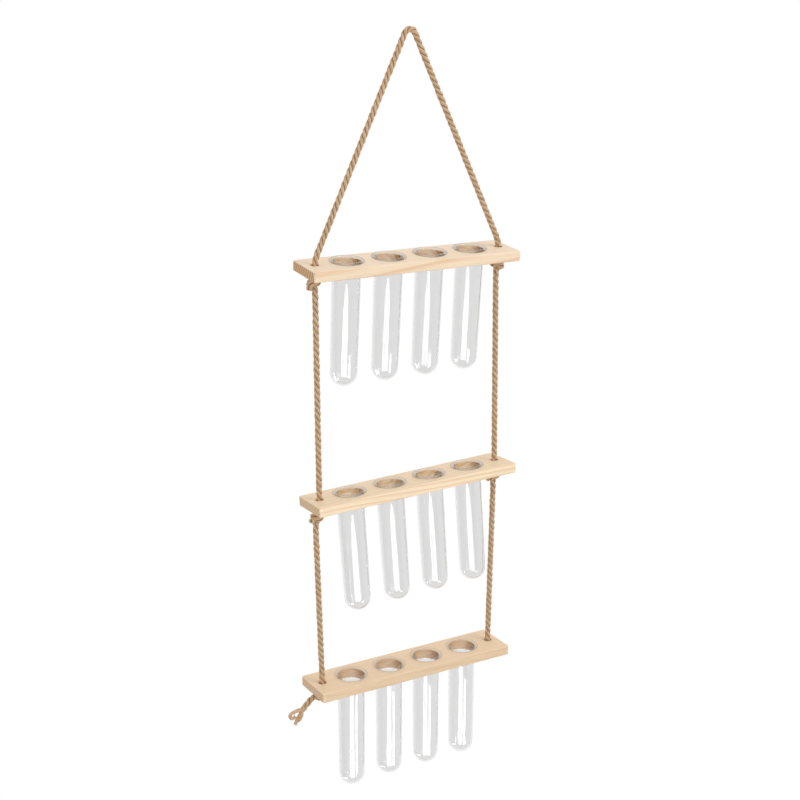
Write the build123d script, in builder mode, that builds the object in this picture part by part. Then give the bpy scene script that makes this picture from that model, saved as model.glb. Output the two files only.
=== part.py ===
from build123d import *
from math import acos, atan2, cos, degrees, hypot, pi, radians, sin
import os

# A hanging test tube vase. One jute rope goes over a hook and down through three pine boards,
# with a knot under each board on each side, and four glass test tubes hang in every board.
# Millimetres. +X runs along the boards, -Y is the front and +Z is up. The origin is the point
# where the inside of the rope's bend sits on its hook.

os.makedirs("parts", exist_ok=True)

# Pine boards. The tube holes share the board's length evenly.
board_length = 200
board_depth = 43.5
board_thickness = 9
board_corner_radius = 2.5
board_edge_radius = 1.2
rope_hole_inset = 10.4
tubes_per_board = 4
tube_pitch = board_length / (tubes_per_board + 1)

# Glass test tubes, a little narrower at the foot than at the neck
tube_diameter = 25
tube_foot_diameter = 23.8
tube_length = 112
tube_wall = 1.2
tube_hole_clearance = 0.5
lip_width = 2.7
lip_height = 1.8
mouth_radius = 1
neck_radius = 0.5
lip_seat_gap = 0.3

# Jute rope and its knots. A knot is a ball of rope with one turn laid over it on the slant.
rope_diameter = 5.5
rope_hole_clearance = 0.95
rope_gap = 0.3
knot_diameter = 12.4
knot_turn_diameter = 8.4
knot_turn_slant = 35
knot_gap = 0.4

# How it hangs: the bend over the hook, then the drops between the boards' top faces
hook_diameter = 5
top_drop = 186
middle_drop = 205
bottom_drop = 181
leg_rise = 4

# Knots tied by hand leave the boards a little off level and square: a positive lean tips the
# front edge down, a positive slope tips the right end down, and a positive turn swings the right
# end back. The lower boards also hang a little to one side, to the right if the shift is positive.
top_lean, top_slope = 3.2, 0.8
middle_lean, middle_slope, middle_shift = -4.4, -1.8, 0.4
bottom_lean, bottom_slope, bottom_turn, bottom_shift = -1.6, 0.9, 2, -1.2

rope_radius = rope_diameter / 2
rope_hole_radius = rope_radius + rope_hole_clearance
tube_hole_radius = tube_diameter / 2 + tube_hole_clearance
hole_x = board_length / 2 - rope_hole_inset
knot_depth = board_thickness + knot_gap + knot_diameter / 2

middle_z = -top_drop - middle_drop
bottom_z = middle_z - bottom_drop
top_plane = Plane((0, 0, -top_drop)).rotated((top_lean, top_slope, 0))
middle_plane = Plane((middle_shift, 0, middle_z)).rotated((middle_lean, middle_slope, 0))
bottom_plane = Plane((bottom_shift, 0, bottom_z)).rotated((bottom_lean, bottom_slope, bottom_turn))
tiers = {"top": top_plane, "middle": middle_plane, "bottom": bottom_plane}
sides = {"left": -hole_x, "right": hole_x}


def save(piece, name):
    piece.part.label = name
    export_step(piece.part, f"parts/{name}.step")


def say_rope(name, piece, length, radii=()):
    """Prints a rope tube's length, its bends and how its volume compares with its length."""
    share = piece.part.volume / (pi * rope_radius**2 * length)
    bends = ", ".join(f"{radius:.1f}" for radius in radii) or "none"
    print(f"{name}: length {length:.1f}, bend radii {bends}, volume share {share:.4f}")


# Boards: a planed pine strip with its edges eased, bored for four tubes and for the rope

for tier, plane in tiers.items():
    with BuildPart() as board:
        with BuildSketch(plane.offset(-board_thickness)):
            RectangleRounded(board_length, board_depth, board_corner_radius)
        extrude(amount=board_thickness)
        faces = board.faces().filter_by(Axis(plane.origin, plane.z_dir))
        fillet(faces.edges(), board_edge_radius)
        with Locations(plane):
            with GridLocations(tube_pitch, 0, tubes_per_board, 1):
                Hole(tube_hole_radius)
            with GridLocations(2 * hole_x, 0, 2, 1):
                Hole(rope_hole_radius)
    save(board, f"{tier}_board")

# Test tubes: one drawn glass wall with a round foot and a flared lip that sits on the board

neck_r = tube_diameter / 2
foot_r = tube_foot_diameter / 2
lip_r = neck_r + lip_width
lip_edge = lip_height / 2
bore_r = neck_r - tube_wall
foot_bore_r = foot_r - tube_wall
foot_z = lip_height - tube_length + foot_r

for tier, plane in tiers.items():
    for number in range(tubes_per_board):
        x = (number - (tubes_per_board - 1) / 2) * tube_pitch
        seat = plane.from_local_coords((x, 0, lip_seat_gap))
        section = Plane(seat, x_dir=plane.x_dir, z_dir=-plane.y_dir)
        with BuildPart() as tube:
            with BuildSketch(section):
                with BuildLine():
                    Line((foot_r, foot_z), (neck_r, -neck_radius))
                    CenterArc((neck_r + neck_radius, -neck_radius), neck_radius, 180, -90)
                    Line((neck_r + neck_radius, 0), (lip_r - lip_edge, 0))
                    CenterArc((lip_r - lip_edge, lip_edge), lip_edge, -90, 180)
                    Line((lip_r - lip_edge, lip_height), (bore_r + mouth_radius, lip_height))
                    CenterArc(
                        (bore_r + mouth_radius, lip_height - mouth_radius), mouth_radius, 90, 90
                    )
                    Line((bore_r, lip_height - mouth_radius), (foot_bore_r, foot_z))
                    CenterArc((0, foot_z), foot_bore_r, 0, -90)
                    Line((0, foot_z - foot_bore_r), (0, foot_z - foot_r))
                    CenterArc((0, foot_z), foot_r, -90, 90)
                make_face()
            revolve(axis=Axis(seat, plane.z_dir))
        save(tube, f"{tier}_tube_{number + 1}")

# Rope over the hook: one tight bend, as small as the hook, with a short straight each side.
# Each leg leaves it on the tangent that leads to its hole in the top board.

bend_radius = hook_diameter / 2 + rope_radius
leg_foot_z = -top_drop + leg_rise
leg_fall = -hook_diameter / 2 - leg_foot_z
leg_angle = degrees(acos(bend_radius / hypot(hole_x, leg_fall)) - atan2(leg_fall, hole_x))
bend_end_x = bend_radius * cos(radians(leg_angle))
bend_end_z = bend_radius * sin(radians(leg_angle)) - hook_diameter / 2
straight = rope_radius
pivot_x = bend_end_x + (straight + rope_gap + rope_radius) * sin(radians(leg_angle))
pivot_z = bend_end_z - (straight + rope_gap + rope_radius) * cos(radians(leg_angle))
straight_x = bend_end_x + straight * sin(radians(leg_angle))
straight_z = bend_end_z - straight * cos(radians(leg_angle))

with BuildPart() as hanger_bend:
    with BuildLine(Plane.XZ) as bend_path:
        Line((-straight_x, straight_z), (-bend_end_x, bend_end_z))
        CenterArc((0, -hook_diameter / 2), bend_radius, 180 - leg_angle, 2 * leg_angle - 180)
        Line((bend_end_x, bend_end_z), (straight_x, straight_z))
    with BuildSketch(Plane(bend_path.wire() @ 0, z_dir=bend_path.wire() % 0)):
        Circle(rope_radius)
    sweep()
save(hanger_bend, "hanger_bend")
say_rope("hanger_bend", hanger_bend, bend_path.wire().length, [bend_radius])

# Hanger legs: straight and tight from the bend to the top board, then upright through its hole.
# The round top of a leg turns below the bend's flat end.

for side, x in sides.items():
    pivot = Vector(pivot_x if x > 0 else -pivot_x, 0, pivot_z)
    turn = top_plane.from_local_coords((x, 0, leg_rise))
    foot = top_plane.from_local_coords((x, 0, -board_thickness))
    short_run = (foot - turn).length
    turn_angle = (turn - pivot).get_angle(foot - turn)
    turn_radius = 0.45 * short_run / abs(sin(radians(turn_angle / 2)) / cos(radians(turn_angle / 2)))
    with BuildPart() as leg:
        with BuildLine() as leg_path:
            FilletPolyline(pivot, turn, foot, radius=turn_radius)
        with BuildSketch(Plane(leg_path.wire() @ 0, z_dir=leg_path.wire() % 0)):
            Circle(rope_radius)
        sweep()
        with Locations(pivot):
            Sphere(rope_radius)
    save(leg, f"{side}_hanger_leg")
    say_rope(f"{side}_hanger_leg", leg, leg_path.wire().length, [turn_radius])

# Knots: one under every board on each side, and what the board rests on

knots = {}
for tier, plane in tiers.items():
    for side, x in sides.items():
        knots[tier, side] = plane.from_local_coords((x, 0, -knot_depth))
        slant = knot_turn_slant if x > 0 else -knot_turn_slant
        with BuildPart() as knot:
            with Locations(Plane(knots[tier, side], x_dir=plane.x_dir, z_dir=plane.z_dir)):
                Sphere(knot_diameter / 2)
                Torus(knot_turn_diameter / 2, rope_radius, rotation=(0, slant, 0))
        save(knot, f"{tier}_{side}_knot")

# Rope inside the lower boards' holes, with a round top that the stretch above turns on

for tier in ("middle", "bottom"):
    plane = tiers[tier]
    for side, x in sides.items():
        mouth = plane.from_local_coords((x, 0, 0))
        with BuildPart() as hole_rope:
            with BuildSketch(Plane(mouth, x_dir=plane.x_dir, z_dir=-plane.z_dir)):
                Circle(rope_radius)
            extrude(amount=board_thickness)
            with Locations(mouth):
                Sphere(rope_radius)
        save(hole_rope, f"{tier}_{side}_hole_rope")

# Side ropes: straight and tight from a knot to the board below it

for name, above, below in (("upper", "top", "middle"), ("lower", "middle", "bottom")):
    for side, x in sides.items():
        knot_centre = knots[above, side]
        mouth = tiers[below].from_local_coords((x, 0, 0))
        down = (mouth - knot_centre).normalized()
        start = knot_centre + down * (knot_diameter / 2 + rope_gap)
        end = mouth - down * (rope_radius + rope_gap)
        with BuildPart() as side_rope:
            with BuildSketch(Plane(start, z_dir=down)):
                Circle(rope_radius)
            extrude(amount=(end - start).length)
        save(side_rope, f"{name}_{side}_rope")
        say_rope(f"{name}_{side}_rope", side_rope, (end - start).length)

# The rope's left end: what is left over below the last knot, lying out to the left.
# Places are counted from the knot's centre, along X, Y and Z.

tail_route = [
    (-6.8, 0, 1.6),
    (-13, -1, 1.9),
    (-19.5, -3, -0.6),
    (-24.8, -3.5, -5.6),
    (-27.5, -3.5, -11.5),
    (-29, -3.5, -17.8),
]
tail_points = [knots["bottom", "left"] + Vector(*place) for place in tail_route]
tail_runs = [b - a for a, b in zip(tail_points, tail_points[1:])]
tail_radii = []
for before, after in zip(tail_runs, tail_runs[1:]):
    half_turn = radians(before.get_angle(after) / 2)
    tail_radii.append(0.45 * min(before.length, after.length) * cos(half_turn) / sin(half_turn))

with BuildPart() as tail:
    with BuildLine() as tail_path:
        FilletPolyline(*tail_points, radius=tail_radii)
    with BuildSketch(Plane(tail_path.wire() @ 0, z_dir=tail_path.wire() % 0)):
        Circle(rope_radius)
    sweep()
save(tail, "rope_tail")
say_rope("rope_tail", tail, tail_path.wire().length, tail_radii)
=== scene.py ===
"""A hanging test tube vase: three pine boards on one knotted jute rope, with twelve glass tubes."""
import random
from math import cos, pi, radians, sin

import bpy
import numpy as np
from mathutils import Matrix, Vector


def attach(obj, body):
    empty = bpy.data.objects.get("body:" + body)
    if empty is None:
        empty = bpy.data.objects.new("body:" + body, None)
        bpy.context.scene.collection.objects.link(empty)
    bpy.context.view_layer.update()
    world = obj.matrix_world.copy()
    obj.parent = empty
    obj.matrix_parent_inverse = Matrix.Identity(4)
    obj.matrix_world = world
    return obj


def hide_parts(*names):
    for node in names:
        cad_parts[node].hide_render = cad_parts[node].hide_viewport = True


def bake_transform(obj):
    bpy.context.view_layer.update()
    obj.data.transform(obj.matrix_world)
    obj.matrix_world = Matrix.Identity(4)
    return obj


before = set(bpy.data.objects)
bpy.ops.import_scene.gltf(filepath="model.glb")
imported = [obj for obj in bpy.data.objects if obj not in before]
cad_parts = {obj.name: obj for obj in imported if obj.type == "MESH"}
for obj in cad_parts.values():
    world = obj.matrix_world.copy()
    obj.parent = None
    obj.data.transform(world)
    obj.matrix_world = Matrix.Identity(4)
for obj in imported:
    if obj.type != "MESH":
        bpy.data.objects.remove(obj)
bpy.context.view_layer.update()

# Camera
# A long lens a little above the top board, seen from the vase's left front, as the photograph is.

aim = Vector((-0.009146, 0, -0.314785))
seen_from, seen_above, away = radians(-28.355), radians(18.036), 1.3278
back = Vector((
    sin(seen_from) * cos(seen_above), -cos(seen_from) * cos(seen_above), sin(seen_above)
))
camera_data = bpy.data.cameras.new("camera")
camera_data.lens = 67.91
camera_data.sensor_width = 36
camera_data.sensor_fit = "HORIZONTAL"
camera = bpy.data.objects.new("camera", camera_data)
camera.location = aim + back * away
camera.rotation_euler = back.to_track_quat("Z", "Y").to_euler()
bpy.context.scene.collection.objects.link(camera)
bpy.context.scene.camera = camera

# Where the boards hang
# Each is given by the drop of its top face from the point that all hangs from, how far it hangs
# to the right, and its lean to the front, slope to the right and turn in degrees, as its knots
# hold it.

mm = 0.001
hangs = {
    "top": (186, 0, 3.2, 0.8, 0),
    "middle": (391, 0.4, -4.4, -1.8, 0),
    "bottom": (572, -1.2, -1.6, 0.9, 2),
}
hung = {
    tier: Matrix.Translation((shift * mm, 0, -drop * mm))
    @ Matrix.Rotation(radians(lean), 4, "X")
    @ Matrix.Rotation(radians(slope), 4, "Y")
    @ Matrix.Rotation(radians(turn), 4, "Z")
    for tier, (drop, shift, lean, slope, turn) in hangs.items()
}
board_thickness = 9
rope_hole = {"left": -89.6, "right": 89.6}


def spot(tier, x, y, z):
    """A place in millimetres from the middle of a board's top face, as a point of the scene."""
    return hung[tier] @ Vector((x * mm, y * mm, z * mm))


# The rope's line
# One 5.5 mm jute rope runs from its loose left end up through the three boards, over one tight
# bend, and down the right side. Under each board it is tied in an overhand knot, which the board
# rests on.

# The knot's control points in millimetres, across it, into it and up from its middle
overhand = [
    (0, 0, 8.59), (0.16, 0.05, 6.73), (1.43, 0.62, 2.66), (2.4, -1.53, -0.6),
    (-0.06, -4.19, -2.91), (-4.32, -3.26, -3.6), (-6.23, 0.4, -2.36), (-4.07, 3.73, -0.67),
    (0, 3.84, 0),
    (4.07, 3.73, 0.67), (6.23, 0.4, 2.36), (4.32, -3.26, 3.6), (0.06, -4.19, 2.91),
    (-2.4, -1.53, 0.6), (-1.43, 0.62, -2.66), (-0.16, 0.05, -6.73), (0, 0, -8.59),
]
knot_top = overhand[0][2]
knot_drop = 7
# How tight it is drawn: across, into it, and upwards for the turns, which lie within 5 mm
drawn_across, drawn_deep, drawn_up, turns_within = 0.95, 0.9, 0.75, 5
front_left = Vector((-0.475, -0.88, 0))

# How each knot came out: its turn about the rope, left or right hand, how far sideways the knot
# and the rope below it lie from the hole, how much lower one side of it sits, and how tall it is
tied = {
    ("top", "left"): (8, 1, -1, 1, 0.42, 1),
    ("top", "right"): (-12, -1, 0, -0.8, 0, 1),
    ("middle", "left"): (-6, 1, -4.4, -5.6, 0.1, 1),
    ("middle", "right"): (14, 1, -3.6, -2.4, 0, 0.85),
    ("bottom", "right"): (-20, 1, 0, 0, 0, 0.5),
}


def knot_points(tier, side):
    """An overhand knot under a board, from the rope that enters it above to where it leaves."""
    turn, hand, aside, below, droop, tall = tied[tier, side]
    up = (hung[tier].to_3x3() @ Vector((0, 0, 1))).normalized()
    level = (front_left - up * front_left.dot(up)).normalized()
    wide = Matrix.Rotation(radians(turn), 3, up) @ level
    deep = up.cross(wide) * hand
    centre = spot(tier, rope_hole[side], 0, -board_thickness - knot_drop * tall)
    along = hung[tier].to_3x3() @ Vector((1, 0, 0))
    points = []
    for x, y, z in overhand:
        part = abs(z) / knot_top
        shift = aside * (1 - part) + (below * part if z < 0 else 0)
        high = z * tall * (drawn_up if abs(z) < turns_within else 1) + droop * y
        place = wide * x * drawn_across + deep * y * drawn_deep + up * high + along * shift
        points.append(centre + place * mm)
    return points


def side_points(tier, side, start):
    """The straight stretch from a knot's lower end down to the hole in the next board."""
    out_of_knot, into_hole = 12, 9.5
    mouth = spot(tier, rope_hole[side], 0, 0)
    down = (mouth - start).normalized()
    return [start + down * out_of_knot * mm, mouth - down * into_hole * mm, mouth]


def top_points(side):
    """The bend at the top, then a tight leg to the top board, with a last turn into its hole."""
    corner_aside, corner_up, above_board = 3.352, 2.75, 4
    off_bend, tight_from, tight_to = 6.7, 36, 13.5
    corner_x = corner_aside * mm if side == "right" else -corner_aside * mm
    corner = Vector((corner_x, 0, corner_up * mm))
    turn = spot("top", rope_hole[side], 0, above_board)
    down = (turn - corner).normalized()
    stops = [corner + down * off_bend * mm, corner + down * tight_from * mm]
    return [corner, *stops, turn - down * tight_to * mm, turn]


# The bottom left knot lies flat on its side, 2 mm out and 3 mm up, so the loose end leaves it to
# the left. These places are in millimetres from left_knot.
left_knot = spot("bottom", rope_hole["left"], 0, -15.6)
lying_knot = [left_knot + Vector(place) * mm for place in ((0, 0, 9), (-0.2, -0.2, 5.5))]
for x, y, z in overhand[2:]:
    lying = Vector((z - 2, 0, y * 0.4 + 3)) + front_left * x * 0.6
    lying_knot.append(left_knot + lying * mm)
loose_end = [
    left_knot + Vector(place) * mm
    for place in ((-15.8, -2.3, 0.2), (-22, -3.4, -4.4), (-25.4, -3.5, -9), (-29, -3.5, -16.8))
]

# A side's control points from the bend down, and where among them one piece of rope ends and the
# next begins. The loose end begins inside its knot, three points before it comes out.
route, cuts = {}, {}
for side in ("left", "right"):
    points = top_points(side)
    cuts[side] = {"top_knot": len(points) + 1}
    for tier, below in (("top", "middle"), ("middle", "bottom")):
        points += knot_points(tier, side)
        cuts[side][tier + "_rope"] = len(points) - 1
        points += side_points(below, side, points[-1])
        cuts[side][below + "_hole"] = len(points) - 1
        cuts[side][below + "_knot"] = len(points) + 1
    if side == "left":
        points += lying_knot + loose_end
        cuts[side]["loose_end"] = len(points) - len(loose_end) - 3
    else:
        points += knot_points("bottom", side)
    route[side] = points
control = route["left"][::-1] + route["right"]


def smooth_line(points):
    """The points of a NURBS spline of third order that has these control points."""
    curve = bpy.data.curves.new("line", "CURVE")
    curve.dimensions = "3D"
    curve.resolution_u = 14
    spline = curve.splines.new("NURBS")
    spline.points.add(len(points) - 1)
    for point, place in zip(spline.points, points):
        point.co = (*place, 1)
    spline.order_u = 3
    spline.use_endpoint_u = True
    holder = bpy.data.objects.new("line", curve)
    mesh = bpy.data.meshes.new_from_object(holder)
    line = np.array([tuple(vertex.co) for vertex in mesh.vertices])
    bpy.data.objects.remove(holder)
    bpy.data.curves.remove(curve)
    bpy.data.meshes.remove(mesh)
    return line


def distances(line):
    """How far along a line each of its points is."""
    return np.concatenate([[0], np.cumsum(np.linalg.norm(np.diff(line, axis=0), axis=1))])


def read_at(far, reach, vectors):
    """Vectors that are given at the distances in reach, read at the distances in far."""
    return np.stack([np.interp(far, reach, vectors[:, i]) for i in range(3)], axis=1)


def evenly(line, step):
    """The same line with its points a step apart, and the distance along it of each."""
    reach = distances(line)
    far = np.linspace(0, reach[-1], max(2, int(round(reach[-1] / step)) + 1))
    return read_at(far, reach, line), far


rope_line, rope_far = evenly(smooth_line(control), 0.8 * mm)


def cut_at(side, name):
    """How far along the rope the cut of that name is, halfway between two control points."""
    at = cuts[side][name]
    before, after = route[side][at - 1], route[side][at]
    middle = np.array((before + after) / 2)
    return rope_far[np.argmin(np.linalg.norm(rope_line - middle, axis=1))]


# Laid jute rope
# Three strands twisted together to the left, each spun from coarse jute yarns. It is dull, warm
# tan, with painted shade between its strands and its yarns, and short fibres stand off it.

strand_offset, strand_radius, lay_length = 1.32 * mm, 1.42 * mm, 18 * mm
strand_sides, yarn_turns_a_metre = 12, 60


def tangents_of(line):
    tangents = np.gradient(line, axis=0)
    return tangents / np.linalg.norm(tangents, axis=1)[:, None]


def frames_along(line):
    """A direction across the line at each of its points, which turns as little as it can."""
    tangents = tangents_of(line)
    across = np.empty_like(tangents)
    askew = (0.31, 0.9, 0.2)
    first = np.cross(tangents[0], askew)
    across[0] = first / np.linalg.norm(first)
    for i in range(1, len(line)):
        side = across[i - 1] - tangents[i] * np.dot(across[i - 1], tangents[i])
        across[i] = side / np.linalg.norm(side)
    return tangents, across


def add_tube(shape, line, radii, sides, twist, across=None):
    """Adds a round strand with closed ends to a shape. Its yarns turn twist times a metre, and are
    mapped in centimetres along it. Across is given for a strand laid in the rope, which then gets
    painted shade on the side away from it, where it lies against the other strands."""
    laid = across is not None
    tangents = tangents_of(line)
    if laid:
        across = across - tangents * np.sum(across * tangents, axis=1)[:, None]
        across /= np.linalg.norm(across, axis=1)[:, None]
    else:
        across = frames_along(line)[1]
    other = np.cross(tangents, across)
    angle = np.arange(sides) * 2 * pi / sides
    out, round_it = np.cos(angle)[None, :, None], np.sin(angle)[None, :, None]
    ring = across[:, None] * out + other[:, None] * round_it
    points = line[:, None] + ring * np.broadcast_to(radii, len(line))[:, None, None]
    # Painted shade: on a laid strand, the side that lies against the other strands is marked to be
    # darkened
    painted_shade_from, painted_shade_width, to_cm = 0.42, 0.55, 100
    if laid:
        groove = np.clip((painted_shade_from - np.cos(angle)) / painted_shade_width, 0, 1)
    else:
        groove = np.zeros(sides)
    far = distances(line)
    start = shape["count"]
    shape["points"].append(points.reshape(-1, 3))
    shape["painted_shades"].append(np.tile(groove, len(line)))
    shape["count"] += len(line) * sides
    for i in range(len(line) - 1):
        low, high = far[i] * twist, far[i + 1] * twist
        for j in range(sides):
            k = (j + 1) % sides
            a, b = start + i * sides, start + (i + 1) * sides
            shape["faces"].append((a + j, a + k, b + k, b + j))
            u, w = j / sides, (j + 1) / sides
            v, x = far[i] * to_cm, far[i + 1] * to_cm
            shape["uvs"] += [(u - low, v), (w - low, v), (w - high, x), (u - high, x)]
    for row, order in ((0, range(sides - 1, -1, -1)), (len(line) - 1, range(sides))):
        shape["faces"].append(tuple(start + row * sides + j for j in order))
        shape["uvs"] += [(j / sides, far[row] * to_cm) for j in order]


def new_shape():
    return {"points": [], "painted_shades": [], "faces": [], "uvs": [], "count": 0}


def finish_shape(shape, name, material):
    mesh = bpy.data.meshes.new(name)
    mesh.from_pydata(np.concatenate(shape["points"]).tolist(), [], shape["faces"])
    layer = mesh.uv_layers.new(name="yarns")
    layer.data.foreach_set("uv", np.array(shape["uvs"], float).ravel())
    painted_shades = mesh.attributes.new("groove", "FLOAT", "POINT")
    painted_shades.data.foreach_set("value", np.concatenate(shape["painted_shades"]))
    mesh.polygons.foreach_set("use_smooth", [True] * len(mesh.polygons))
    mesh.materials.append(material)
    piece = bpy.data.objects.new(name, mesh)
    bpy.context.scene.collection.objects.link(piece)
    return piece


def linear(code):
    """An sRGB hex colour as Blender's linear red, green, blue and alpha."""
    parts = [int(code[i : i + 2], 16) / 255 for i in (1, 3, 5)]
    return (*(c / 12.92 if c <= 0.04045 else ((c + 0.055) / 1.055) ** 2.4 for c in parts), 1)


def add(material, kind, inputs=None, **settings):
    """Adds a node to a material. An input is a value, or a node and the name of its output."""
    made = material.node_tree.nodes.new("ShaderNode" + kind)
    for name, value in settings.items():
        setattr(made, name, value)
    for name, value in (inputs or {}).items():
        if isinstance(value, tuple) and isinstance(value[0], bpy.types.Node):
            material.node_tree.links.new(value[0].outputs[value[1]], made.inputs[name])
        else:
            made.inputs[name].default_value = value
    return made


def new_material(name):
    material = bpy.data.materials.new(name)
    material.use_nodes = True
    material.node_tree.nodes.clear()
    return material


# Jute, spun and laid: matt plant fibre. A yarn is 1.2 mm wide, seven round a strand, and its
# fibres are streaks along it, drawn 0.2 mm wide to show. The valleys between the yarns and the
# sides where the strands touch are darkened as painted shade.
jute = new_material("jute_laid")
jute_place = add(jute, "TexCoord")
yarns = add(jute, "TexWave", {"Vector": (jute_place, "UV"), "Scale": 7 * pi / 10},
            wave_type="BANDS", bands_direction="X")
stretched = add(jute, "Mapping", {"Vector": (jute_place, "UV"), "Scale": (40, 2.2, 1)})
fibres = add(jute, "TexNoise", {"Vector": (stretched, "Vector"), "Scale": 1, "Detail": 3})
# Paler and darker patches, about 4 mm across
patches = add(jute, "TexNoise", {"Vector": (jute_place, "Object"), "Scale": 260, "Detail": 2})
tan = add(jute, "ValToRGB", {"Fac": (patches, "Fac")})
tan.color_ramp.elements[0].position, tan.color_ramp.elements[1].position = 0.32, 0.7
tan.color_ramp.elements[0].color = linear("#CEA577")
tan.color_ramp.elements[1].color = linear("#E8C8A0")
streak = add(jute, "ValToRGB", {"Fac": (fibres, "Fac")})
streak.color_ramp.elements[0].position, streak.color_ramp.elements[1].position = 0.3, 0.72
streak.color_ramp.elements[0].color = linear("#AC7E50")
streak.color_ramp.elements[1].color = linear("#F8E2C2")
toned = add(jute, "Mix", {0: 0.45, 6: (tan, "Color"), 7: (streak, "Color")}, data_type="RGBA")
# Painted shade: the valleys between the yarns are darkened
painted_yarn_shade = add(jute, "MapRange", {"Value": (yarns, "Fac"), "From Max": 0.5, "To Min": 0.62})
spun = add(jute, "Mix", {0: 1.0, 6: (toned, 2), 7: (painted_yarn_shade, "Result")},
           data_type="RGBA", blend_type="MULTIPLY")
# Painted shade between the strands: the marked sides are multiplied by a dark brown
between = add(jute, "Attribute", attribute_name="groove")
jute_colour = add(jute, "Mix", {0: (between, "Fac"), 6: (spun, 2), 7: linear("#A3744A")},
                  data_type="RGBA", blend_type="MULTIPLY")
relief = add(jute, "Math", {0: (yarns, "Fac"), 1: (fibres, "Fac")}, operation="ADD")
jute_bump = add(jute, "Bump", {"Height": (relief, "Value"), "Strength": 0.7, "Distance": 0.00025})
jute_skin = add(jute, "BsdfPrincipled", {
    "Base Color": (jute_colour, 2), "Normal": (jute_bump, "Normal"), "Roughness": 0.88,
    "IOR": 1.45, "Specular IOR Level": 0.25, "Sheen Weight": 0.25, "Sheen Roughness": 0.5,
})
add(jute, "OutputMaterial", {"Surface": (jute_skin, "BSDF")})

rope_tangents, rope_across = frames_along(rope_line)
rope_other = np.cross(rope_tangents, rope_across)
in_knot = [
    (cut_at(side, tier + "_knot"), cut_at(side, next_cut) if next_cut else None)
    for side in ("left", "right")
    for tier, next_cut in (
        ("top", "top_rope"), ("middle", "middle_rope"),
        ("bottom", "loose_end" if side == "left" else None))
]


def tightness(far):
    """How thick the rope is at a distance along it: a knot bunches its strands up a little."""
    bunched, fade = 0.12, 4 * mm
    size = np.ones_like(far)
    for start, end in in_knot:
        low, high = sorted((start, rope_far[-1] - fade if end is None else end))
        inside = np.clip((far - low) / fade, 0, 1) * np.clip((high - far) / fade, 0, 1)
        size += bunched * inside * (3 - 2 * inside) * inside
    return size


def strand_line(k, far, thick):
    """The line of one of the three strands at these distances along the rope."""
    angle = -2 * pi * far / lay_length + 2 * pi * k / 3
    centre = read_at(far, rope_far, rope_line)
    across, other = read_at(far, rope_far, rope_across), read_at(far, rope_far, rope_other)
    out = across * np.cos(angle)[:, None] + other * np.sin(angle)[:, None]
    return centre + out * (strand_offset * thick)[:, None], out


chance = random.Random(7)


def add_fibres(shape, start, end, to_the_cm=5):
    """Short stray fibres, 2.5 to 5.5 mm long and drawn 0.1 mm thick, that lie close to the rope.
    One whose tip would stand further from the rope's middle line than it may is left out."""
    centimetre, root, stands_off = 0.01, 2.2, 4.6 * mm
    fibre_radii = np.array([0.055, 0.05, 0.04, 0.02]) * mm
    for _ in range(int((end - start) / centimetre * to_the_cm)):
        at = chance.uniform(start, end)
        i = int(np.clip(np.searchsorted(rope_far, at), 1, len(rope_far) - 2))
        angle = chance.uniform(0, 2 * pi)
        out = rope_across[i] * cos(angle) + rope_other[i] * sin(angle)
        round_it = np.cross(rope_tangents[i], out)
        length = chance.uniform(2.5, 5.5) * mm
        lean = chance.choice((-1, 1)) * chance.uniform(0.5, 1)
        rise = chance.uniform(0.5, 1.5) * mm
        turn = chance.uniform(-0.8, 0.8)
        foot = rope_line[i] + out * root * mm
        hair = [
            foot + rope_tangents[i] * lean * length * t + round_it * turn * length * t * t
            + out * rise * (1.7 * t - 0.7 * t * t * (1 + turn))
            for t in (0, 0.33, 0.66, 1)
        ]
        near = rope_line[max(0, i - 9) : i + 10]
        if min(np.linalg.norm(near - hair[-1], axis=1)) > stands_off:
            continue
        add_tube(shape, np.array(hair), fibre_radii, 3, 0)


joint_reach, joint_slim = 0.7 * mm, 0.86


def slimmed(distance):
    """How thick the rope is by the distance from an end that slips inside the next piece."""
    return joint_slim + (1 - joint_slim) * np.clip(distance / (2 * joint_reach), 0, 1)


def laid_rope(name, start, end, taper=(True, True)):
    """A length of the rope as one piece. Its ends slip inside the pieces that it joins."""
    low = max(start - (joint_reach if taper[0] else 0), 0)
    high = min(end + (joint_reach if taper[1] else 0), rope_far[-1])
    step, bare = 0.75 * mm, 1 * mm
    far = np.linspace(low, high, int((high - low) / step) + 2)
    ends = np.ones_like(far)
    for tapers, distance in zip(taper, (far - low, high - far)):
        if tapers:
            ends = np.minimum(ends, slimmed(distance))
    thick = tightness(far) * ends
    # Hand-laid rope swells and thins by a few hundredths, in waves 20 and 34 mm long
    thick *= 1 + 0.025 * np.sin(far * 310 + 1) + 0.02 * np.sin(far * 187)
    shape = new_shape()
    for k in range(3):
        line, out = strand_line(k, far, thick)
        uneven = 1 + 0.05 * np.sin(far * (900 + 130 * k) + k * 2) * np.sin(far * 270 + k)
        radii = strand_radius * thick * uneven
        add_tube(shape, line, radii, strand_sides, yarn_turns_a_metre, out)
    add_fibres(shape, low + bare, high - bare)
    return finish_shape(shape, name, jute)


def line_between(start, end):
    """The rope's middle line between two distances."""
    far = np.linspace(start, end, int(abs(end - start) / (1.5 * mm)))
    return read_at(far, rope_far, rope_line).tolist()


# The hanger
# The stretch of the rope from the left hole of the top board up over the bend and down to the
# right hole. The vase's weight pulls it tight, and all of it swings below the bend.

hanger_ends = cut_at("left", "top_knot"), cut_at("right", "top_knot")
hanger = laid_rope("hanger_laid_rope", *hanger_ends)
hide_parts("hanger_bend", "left_hanger_leg", "right_hanger_leg")
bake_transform(hanger)

# Knots, threaded rope and side ropes
# Below the top board the same rope is knotted under each board on both sides, runs down tight to
# the next board, and is threaded through its hole.


def rope_piece(name, start, end, body, node, taper=(True, True)):
    piece = laid_rope(name, *sorted((start, end)), taper)
    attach(piece, body)
    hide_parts(node)


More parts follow.
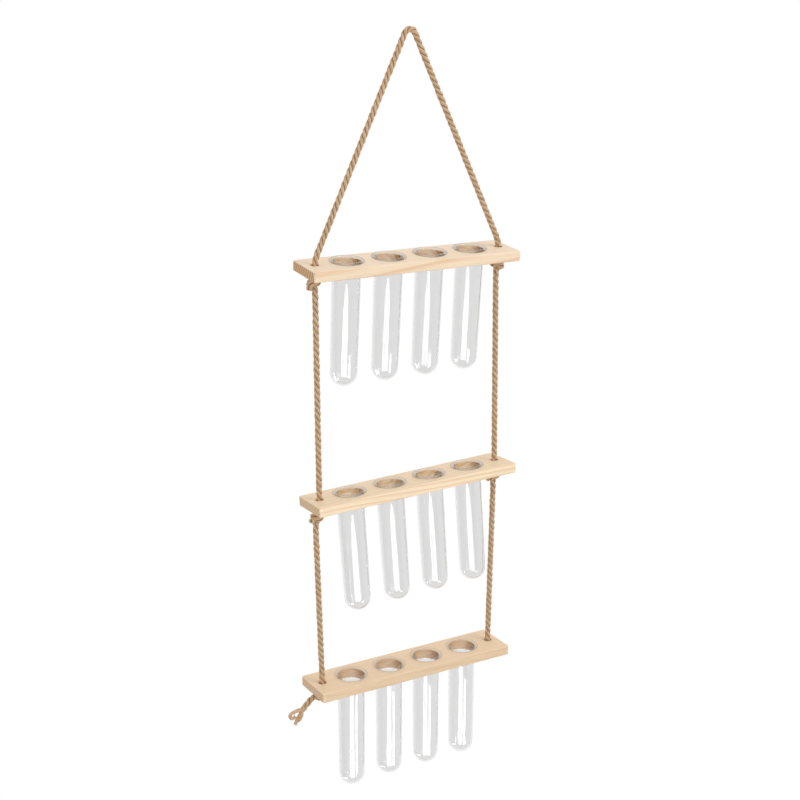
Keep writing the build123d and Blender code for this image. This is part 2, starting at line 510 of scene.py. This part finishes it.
for side in ("left", "right"):
    cut = {name: cut_at(side, name) for name in cuts[side]}
    rope_piece(f"top_{side}_overhand_knot", cut["top_knot"], cut["top_rope"],
               "top_knots", f"top_{side}_knot")
    rope_piece(f"upper_{side}_laid_rope", cut["top_rope"], cut["middle_hole"],
               f"upper_{side}_rope", f"upper_{side}_rope")
    rope_piece(f"middle_{side}_threaded_rope", cut["middle_hole"], cut["middle_knot"],
               "middle_carriers", f"middle_{side}_hole_rope")
    rope_piece(f"middle_{side}_overhand_knot", cut["middle_knot"], cut["middle_rope"],
               "middle_knots", f"middle_{side}_knot")
    rope_piece(f"lower_{side}_laid_rope", cut["middle_rope"], cut["bottom_hole"],
               f"lower_{side}_rope", f"lower_{side}_rope")
    rope_piece(f"bottom_{side}_threaded_rope", cut["bottom_hole"], cut["bottom_knot"],
               "bottom_carriers", f"bottom_{side}_hole_rope")
    end = cut["loose_end"] if side == "left" else rope_far[-1]
    rope_piece(f"bottom_{side}_overhand_knot", cut["bottom_knot"], end,
               "bottom_carriers", f"bottom_{side}_knot", (True, side == "left"))

# The loose end
# What is left over of the rope sticks out past the board's left end. Its strands have come apart
# and spread, and each ends in a small brush of fibres.

unlaid_from = rope_far[0] + 13 * mm


def add_brush(shape, line):
    """The frayed tip of a strand: fibres that fan out from its end."""
    brush_fibres, brush_length = 6, 2.2
    fibre_radii = np.array([0.34, 0.3, 0.2, 0.05]) * mm
    tip, way = line[-1], line[-1] - line[-3]
    way = way / np.linalg.norm(way)
    for _ in range(brush_fibres):
        aside = np.array([chance.uniform(-1, 1) for _ in range(3)])
        aside -= way * np.dot(aside, way)
        reach = chance.uniform(0.6, 1) * brush_length * mm
        start = tip - way * 0.8 * mm + aside * 0.7 * mm
        hair = [start + way * reach * t + aside * reach * 0.55 * t * t for t in (0, 0.35, 0.7, 1.0)]
        add_tube(shape, np.array(hair), fibre_radii, 5, 0)


def add_loose_strand(shape, k, places):
    """One strand after the split: it leaves the lay and follows places near the photograph's."""
    last_laid = np.array([unlaid_from + 4 * mm, unlaid_from + 1.5 * mm])
    laid, _ = strand_line(k, last_laid, np.ones(2))
    points = [Vector(p) for p in laid] + [left_knot + Vector(p) * mm for p in places]
    line, far = evenly(smooth_line(points), 0.6 * mm)
    thin = 1 - 0.12 * np.clip(far / far[-1] * 1.6 - 0.6, 0, 1)
    wavy = 1 + 0.06 * np.sin(far * 1500 + k)
    loose_radius = 1.72 * mm
    add_tube(shape, line, loose_radius * thin * wavy, 11, 48)
    add_brush(shape, line)


loose = new_shape()
far = np.linspace(unlaid_from, cut_at("left", "loose_end") + joint_reach, 40)
thick = tightness(far) * slimmed(far[-1] - far)
for k in range(3):
    line, out = strand_line(k, far, thick)
    add_tube(loose, line, strand_radius * thick, strand_sides, yarn_turns_a_metre, out)
add_fibres(loose, unlaid_from, far[-1], 8)
add_loose_strand(loose, 0, (
    (-23.4, -3.4, -7), (-25.4, -3.6, -10), (-27.8, -3.6, -13.2), (-29.2, -3.5, -17)))
tail = finish_shape(loose, "loose_end_laid_rope", jute)
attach(tail, "bottom_carriers")
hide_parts("rope_tail")
curled = new_shape()
add_loose_strand(curled, 1, (
    (-25.2, -4.4, -3), (-30.6, -4.4, -3.9), (-34.6, -4.4, -5.6), (-34.4, -4.4, -9.4),
    (-31, -4.4, -10.4), (-29.6, -4.4, -8.8)))
short = new_shape()
add_loose_strand(short, 2, ((-22.9, -4.4, -7.6), (-24, -4.8, -11), (-26.6, -4.6, -13.6)))
for shape, name in ((curled, "loose_end_curled_strand"), (short, "loose_end_short_strand")):
    strand = finish_shape(shape, name, jute)
    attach(strand, "bottom_carriers")

# The side ropes' middle lines
# Worked out between the points where each leaves what holds it. The hanger and the side ropes
# are pulled tight and end in knots, and the last length hangs loose from the bottom left one.

for side in ("left", "right"):
    for name, above, below, length in (
            ("upper", "top", "middle", 0.176), ("lower", "middle", "bottom", 0.153)):
        ends = cut_at(side, above + "_rope"), cut_at(side, below + "_hole")
        line = line_between(*ends)

# Boards
# Planed, unvarnished pine strips with eased edges, each cut from another part of the tree, so the
# year rings run along them at different depths. The CAD boards are kept and get this wood.

grain = {
    # board: the tree's middle, back and up from the board's, in millimetres, the rings' width,
    # the rings' pale and dark wood on the planed faces and then on the sawn ends, and the painted
    # shade on the front face
    "top": ((55, -32), 3.6, "#F3E0C7", "#EAC9A6", "#DAB184", "#764A28", "#FCF6F0"),
    "middle": ((-48, -40), 3.2, "#F3DDBE", "#E7C39C", "#D9BD98", "#C4A27C", "#FFFFFF"),
    "bottom": ((52, 38), 3.4, "#EDD2B1", "#E8C8A3", "#DBBA99", "#CEAB87", "#F3F0ED"),
}
for tier, (pith, ring_width, early, late, end_early, end_late, front_face_shade) in grain.items():
    # Pine, planed: pale spring wood with a warmer, harder line each year. Its finish is satin, and
    # the sawn ends drink in light and look darker.
    pine = new_material(f"pine_planed_{tier}")
    place = add(pine, "TexCoord")
    # The strip was sawn at a slight slant to the tree, and the rings wander by up to 3 mm
    heart = spot(tier, 0, *pith)
    centred = add(pine, "Mapping", {
        "Vector": (place, "Object"), "Location": (0, -heart.y, -heart.z),
        "Rotation": (0, radians(0.6), radians(1.1)),
    })
    slow = add(pine, "Mapping", {"Vector": (centred, "Vector"), "Scale": (5, 26, 26)})
    bend = add(pine, "TexNoise", {"Vector": (slow, "Vector"), "Scale": 1, "Detail": 1.5})
    push = add(pine, "VectorMath", {0: (bend, "Color"), 1: (0.5, 0.5, 0.5)}, operation="SUBTRACT")
    pushed = add(pine, "VectorMath", {
        0: (push, "Vector"), 1: (0, 0.006, 0.006), 2: (centred, "Vector"),
    }, operation="MULTIPLY_ADD")
    rings = add(pine, "TexWave", {
        "Vector": (pushed, "Vector"), "Scale": 2 * pi / 20 / (ring_width * mm),
    }, wave_type="RINGS", rings_direction="X", wave_profile="SAW")
    year = add(pine, "ValToRGB", {"Fac": (rings, "Fac")})
    year.color_ramp.elements[0].color = linear(early)
    year.color_ramp.elements[1].color = linear(early)
    year.color_ramp.elements[1].position = 1
    year.color_ramp.elements.new(0.55).color = linear(early)
    year.color_ramp.elements.new(0.9).color = linear(late)
    # Pores along the grain, drawn about 1 mm wide and 45 mm long to show
    fine = add(pine, "Mapping", {"Vector": (place, "Object"), "Scale": (22, 900, 900)})
    pores = add(pine, "TexNoise", {"Vector": (fine, "Vector"), "Scale": 1, "Detail": 4})
    pore_tone = add(pine, "MapRange", {
        "Value": (pores, "Fac"), "From Min": 0.3, "From Max": 0.7, "To Min": 0.93, "To Max": 1.03,
    })
    wood = add(pine, "Mix", {0: 1.0, 6: (year, "Color"), 7: (pore_tone, "Result")},
               data_type="RGBA", blend_type="MULTIPLY")
    facing = add(pine, "SeparateXYZ", {"Vector": (place, "Normal")})
    outward = add(pine, "Math", {0: (facing, "X")}, operation="ABSOLUTE")
    sawn = add(pine, "MapRange", {"Value": (outward, "Value"), "From Min": 0.75, "From Max": 0.95})
    end_year = add(pine, "ValToRGB", {"Fac": (rings, "Fac")})
    end_year.color_ramp.elements[0].color = linear(end_early)
    end_year.color_ramp.elements[1].color = linear(end_early)
    end_year.color_ramp.elements.new(0.45).color = linear(end_early)
    end_year.color_ramp.elements.new(0.85).color = linear(end_late)
    ends = add(pine, "Mix", {0: (sawn, "Result"), 6: (wood, 2), 7: (end_year, "Color")},
               data_type="RGBA")
    # Painted shade in the holes: their bored walls, cut across the grain, are tinted a little
    # warmer and darker for the shade down in them. They are what stands upright within 17 mm of the
    # board's middle line and 90 mm of its middle
    spread = add(pine, "SeparateXYZ", {"Vector": (place, "Object")})
    level = add(pine, "Math", {0: (facing, "Z")}, operation="ABSOLUTE")
    upright = add(pine, "Math", {0: (level, "Value"), 1: 0.5}, operation="LESS_THAN")
    inward = add(pine, "Math", {0: (spread, "Y"), 1: 0.0, 2: 0.017}, operation="COMPARE")
    bored = add(pine, "Math", {0: (upright, "Value"), 1: (inward, "Value")}, operation="MULTIPLY")
    inside = add(pine, "Math", {0: (spread, "X"), 1: 0.0, 2: 0.09}, operation="COMPARE")
    bored = add(pine, "Math", {0: (bored, "Value"), 1: (inside, "Value")}, operation="MULTIPLY")
    with_painted_hole_shade = add(pine, "Mix", {0: (bored, "Value"), 6: (ends, 2), 7: linear("#FFF4E6")},
                data_type="RGBA", blend_type="MULTIPLY")
    # Painted shade: the front faces, but not the hole walls, are darkened a little by the board's
    # front face shade
    forward = add(pine, "Math", {0: (facing, "Y"), 1: -0.7}, operation="LESS_THAN")
    front_shade_mask = add(pine, "Math", {0: (forward, "Value"), 1: (bored, "Value")}, operation="SUBTRACT")
    wooden = add(pine, "Mix", {0: (front_shade_mask, "Value"), 6: (with_painted_hole_shade, 2), 7: linear(front_face_shade)},
                 data_type="RGBA", blend_type="MULTIPLY")
    skin_bump = add(pine, "Bump", {"Height": (pores, "Fac"), "Strength": 0.25, "Distance": 0.0001})
    skin = add(pine, "BsdfPrincipled", {
        "Base Color": (wooden, 2), "Normal": (skin_bump, "Normal"), "Roughness": 0.55, "IOR": 1.5,
        "Specular IOR Level": 0.3,
    })
    add(pine, "OutputMaterial", {"Surface": (skin, "BSDF")})
    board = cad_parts[f"{tier}_board"]
    board.data.materials.clear()
    board.data.materials.append(pine)

# Test tubes
# Clear drawn glass, 25 mm across and 112 mm long with a 1.2 mm wall, a round foot and a lip that
# was flared and fire-polished. Each hangs in its hole by the lip.

neck, foot, wall, foot_height, lip_radius = 12.5, 11.9, 1.2, -98.3, 15.2
neck_edge, lip_edge, mouth_edge = 0.5, 0.9, 1
mouth_height = 2 * lip_edge - mouth_edge
outline = [(0.0, foot_height - foot)]
for step in range(1, 25):
    angle = step / 24 * pi / 2
    outline.append((foot * sin(angle), foot_height - foot * cos(angle)))
for part in (0.2, 0.4, 0.6, 0.8, 0.91, 1):
    outline.append((foot + (neck - foot) * part, foot_height + (-neck_edge - foot_height) * part))
for step in range(1, 5):
    angle = step / 4 * pi / 2
    outline.append((neck + neck_edge - neck_edge * cos(angle), -neck_edge + neck_edge * sin(angle)))
for step in range(0, 13):
    angle = -pi / 2 + step / 12 * pi
    radius = lip_radius - lip_edge + lip_edge * cos(angle)
    outline.append((radius, lip_edge + lip_edge * sin(angle)))
for step in range(0, 7):
    angle = pi / 2 + step / 6 * pi / 2
    radius = neck - wall + mouth_edge + mouth_edge * cos(angle)
    outline.append((radius, mouth_height + mouth_edge * sin(angle)))
for part in (0.113, 0.3, 0.5, 0.7, 0.85, 1):
    height = mouth_height + (foot_height - mouth_height) * part
    outline.append((neck - wall + (foot - neck) * part, height))
for step in range(1, 25):
    angle = pi / 2 - step / 24 * pi / 2
    outline.append(((foot - wall) * sin(angle), foot_height - (foot - wall) * cos(angle)))
outline[-1] = (0.0, foot_height - foot + wall)

# Soda-lime glass, drawn: clear with a faint grey body, mirror smooth, bright on its rounded rims.
# Its IOR is under the usual 1.52, which keeps its outlines as thin and pale as the photograph's.
glass = new_material("soda_glass_drawn")
clear = add(glass, "BsdfPrincipled", {
    "Base Color": linear("#EDEDED"), "Roughness": 0.0, "IOR": 1.36, "Transmission Weight": 1.0,
})
# Light that has been through two tubes goes straight on, so that a row seen from its end is clear
path = add(glass, "LightPath")
deep = add(glass, "Math", {0: (path, "Transmission Depth"), 1: 7.5}, operation="GREATER_THAN")
straight = add(glass, "BsdfTransparent", {"Color": linear("#F8F8F8")})
drawn = add(glass, "MixShader", {0: (deep, "Value"), 1: (clear, "BSDF"), 2: (straight, "BSDF")})
add(glass, "OutputMaterial", {"Surface": (drawn, "Shader")})

# The same glass on the fire-polished lip and in the board's hole, where it is too thin to bend
# light and shows the wood behind it: clear, with faint grey outlines and a gloss on its rounded rim
lip_glass = new_material("soda_glass_polished_lip")
grazing = add(lip_glass, "LayerWeight", {"Blend": 0.5})
outlines = add(lip_glass, "ValToRGB", {"Fac": (grazing, "Facing")})
outlines.color_ramp.elements[0].color = linear("#FCFCFC")
outlines.color_ramp.elements[1].color = linear("#8A8884")
outlines.color_ramp.elements.new(0.6).color = linear("#F3F2F0")
clearer = add(lip_glass, "BsdfTransparent", {"Color": (outlines, "Color")})
polish = add(lip_glass, "BsdfGlossy", {"Color": (1, 1, 1, 1), "Roughness": 0.03})
share = add(lip_glass, "MapRange", {
    "Value": (grazing, "Facing"), "From Min": 0.4, "To Min": 0.04, "To Max": 0.45,
})
rim = add(lip_glass, "MixShader", {0: (share, "Result"), 1: (clearer, "BSDF"), 2: (polish, "BSDF")})
add(lip_glass, "OutputMaterial", {"Surface": (rim, "Shader")})

# The outline turned about the tube's middle. The lip's glass reaches down through the board.
turns, lip_glass_to = 96, -9.2 * mm
points, faces, rows = [], [], []
for radius, height in outline:
    if radius == 0:
        rows.append([len(points)] * turns)
        points.append((0, 0, height * mm))
        continue
    rows.append(list(range(len(points), len(points) + turns)))
    for step in range(turns):
        angle = step / turns * 2 * pi
        points.append((radius * cos(angle) * mm, radius * sin(angle) * mm, height * mm))
for low, high in zip(rows, rows[1:]):
    for i in range(turns):
        j = (i + 1) % turns
        corners = [low[i], low[j], high[j], high[i]]
        faces.append(tuple(dict.fromkeys(corners)))
blown = bpy.data.meshes.new("drawn_tube")
blown.from_pydata(points, [], faces)
blown.polygons.foreach_set("use_smooth", [True] * len(blown.polygons))
blown.materials.append(glass)
blown.materials.append(lip_glass)
for face in blown.polygons:
    face.material_index = 1 if face.center.z > lip_glass_to else 0

tube_pitch, seat_gap = 40, 0.3
hung_tubes = {tier: [] for tier in hangs}
for tier in hangs:
    for number in range(1, 5):
        piece = bpy.data.objects.new(f"{tier}_drawn_tube_{number}", blown)
        hung_tubes[tier].append(piece)
        bpy.context.scene.collection.objects.link(piece)
        seat = ((number - 2.5) * tube_pitch * mm, 0, seat_gap * mm)
        piece.matrix_world = hung[tier] @ Matrix.Translation(seat)
        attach(piece, f"{tier}_tube_{number}")
        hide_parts(f"{tier}_tube_{number}")
        piece.visible_shadow = False

# Floor and room
# A wide white floor well below the vase, which keeps its soft shadow, and a pale room all round.
# Both show as plain white to the camera and in the glass, and light the vase a little less.


def looked_at(material):
    """Adds nodes that are 1 for a ray from the camera, mirrored or through glass, and else 0."""
    rays = add(material, "LightPath")
    seen = add(material, "Math", {0: (rays, "Is Camera Ray"), 1: (rays, "Is Glossy Ray")},
               operation="MAXIMUM")
    return add(material, "Math", {0: (seen, "Value"), 1: (rays, "Is Transmission Ray")},
               operation="MAXIMUM")


floor_mesh = bpy.data.meshes.new("floor")
floor_mesh.from_pydata([(-9, -9, 0), (9, -9, 0), (9, 9, 0), (-9, 9, 0)], [], [(0, 1, 2, 3)])
floor = bpy.data.objects.new("floor", floor_mesh)
floor.location = (0, 0, -1.15)
bpy.context.scene.collection.objects.link(floor)
paint = new_material("matt_white_paint")
mostly = add(paint, "Math", {0: (looked_at(paint), "Value"), 1: 0.93}, operation="MULTIPLY")
matt = add(paint, "BsdfDiffuse", {"Color": linear("#F2F2F0")})
bright = add(paint, "Emission", {"Color": (1, 1, 1, 1), "Strength": 1.02})
blend = add(paint, "MixShader", {0: (mostly, "Value"), 1: (matt, "BSDF"), 2: (bright, "Emission")})
add(paint, "OutputMaterial", {"Surface": (blend, "Shader")})
floor_mesh.materials.append(paint)

world = bpy.data.worlds.new("pale_room")
bpy.context.scene.world = world
world.use_nodes = True
world.node_tree.nodes.clear()
level = add(world, "MapRange", {
    "Value": (looked_at(world), "Value"), "To Min": 0.85, "To Max": 1.0,
})
room = add(world, "Background", {"Color": (1, 1, 1, 1), "Strength": (level, "Result")})
add(world, "OutputWorld", {"Surface": (room, "Background")})

# Lamp
# One broad soft lamp, 0.9 by 1.2 m, stands at the vase's front right and well above it. It gives
# the boards' top faces their light and the rope its shaded side.

lamp_data = bpy.data.lights.new("key_lamp", "AREA")
lamp_data.shape = "RECTANGLE"
lamp_data.size, lamp_data.size_y, lamp_data.energy = 0.9, 1.2, 11
lamp = bpy.data.objects.new("key_lamp", lamp_data)
lamp.location = (0.85, -1.35, 0.75)
lit_point = Vector((0, 0, -0.35))
lamp.rotation_euler = (lamp.location - lit_point).to_track_quat("Z", "Y").to_euler()
lamp.visible_camera = False
bpy.context.scene.collection.objects.link(lamp)

# White cards
# One before each row of tubes, which only that row's gloss and the boards' see. It gives every
# tube its bright stripe, from below the board to the foot, with a fine gap left of its middle.
# Two small ones give the two glints on its round foot.

card_away, glint_away, card_strength = 0.6, 0.55, 15.0
card_paper = new_material("white_card")
glow = add(card_paper, "Emission", {"Color": (1, 1, 1, 1), "Strength": card_strength})
add(card_paper, "OutputMaterial", {"Surface": (glow, "Emission")})
# The paper of the small cards: only a mirror gloss sees it, so that the wood's soft one does not
glint_paper = new_material("white_card_for_glints")
ray = add(glint_paper, "LightPath")
strength = add(glint_paper, "Math", {0: (ray, "Is Singular Ray"), 1: card_strength},
               operation="MULTIPLY")
glint = add(glint_paper, "Emission", {"Color": (1, 1, 1, 1), "Strength": (strength, "Value")})
add(glint_paper, "OutputMaterial", {"Surface": (glint, "Emission")})

# Half a card's width, in metres, by the height on the tube, in millimetres, where it is mirrored
narrow_card = ((-10, 0.14), (-50, 0.17), (-98, 0.2), (-135, 0.2))
wide_card = ((-17, 0.03), (-25, 0.12), (-45, 0.2), (-70, 0.23), (-98, 0.25), (-135, 0.25))
# A glint's place on the round foot, right and up as the foot's normal, and half its card's width
glints = ((-0.54, -0.42, 0.17), (0.34, -0.4, 0.1))
rightward = Vector((cos(seen_from), sin(seen_from), 0))
for tier in hangs:
    corners = []
    axis = (spot(tier, 0, 0, 1) - spot(tier, 0, 0, 0)).normalized()
    for height, half in narrow_card if tier == "bottom" else wide_card:
        front = spot(tier, 0, 0, height)
        towards = (camera.location - front).normalized()
        outward = (towards - axis * towards.dot(axis)).normalized()
        mirrored = outward * 2 * outward.dot(towards) - towards
        for side in (-1, -0.3, -0.2, 1):
            corners.append(front + mirrored * card_away + axis.cross(outward) * side * half)
    strips = [i + side for i in range(0, len(corners) - 4, 4) for side in (0, 2)]
    quads = [(i, i + 1, i + 5, i + 4) for i in strips]
    round_foot = spot(tier, 0, 0, -98)
    towards = (camera.location - round_foot).normalized()
    for x, y, half in glints:
        normal = rightward * x + towards.cross(rightward) * y + towards * (1 - x * x - y * y) ** 0.5
        mirrored = normal * 2 * normal.dot(towards) - towards
        sideways = mirrored.cross(axis).normalized() * half
        upwards = sideways.cross(mirrored)
        quads.append(tuple(range(len(corners), len(corners) + 4)))
        for a, b in ((-1, -1), (1, -1), (1, 1), (-1, 1)):
            corners.append(round_foot + mirrored * glint_away + sideways * a + upwards * b)
    card_mesh = bpy.data.meshes.new(f"{tier}_card")
    card_mesh.from_pydata(corners, [], quads)
    card_mesh.materials.append(card_paper)
    card_mesh.materials.append(glint_paper)
    for quad in card_mesh.polygons[-len(glints):]:
        quad.material_index = 1
    card = bpy.data.objects.new(f"{tier}_card", card_mesh)
    bpy.context.scene.collection.objects.link(card)
    lit = bpy.data.collections.new(f"lit_by_{tier}_card")
    for piece in hung_tubes[tier] + [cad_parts[f"{board}_board"] for board in hangs]:
        lit.objects.link(piece)
    card.light_linking.receiver_collection = lit
    card.visible_camera = card.visible_diffuse = False
    card.visible_transmission = card.visible_shadow = False
bpy.context.scene.view_settings.view_transform = "Standard"
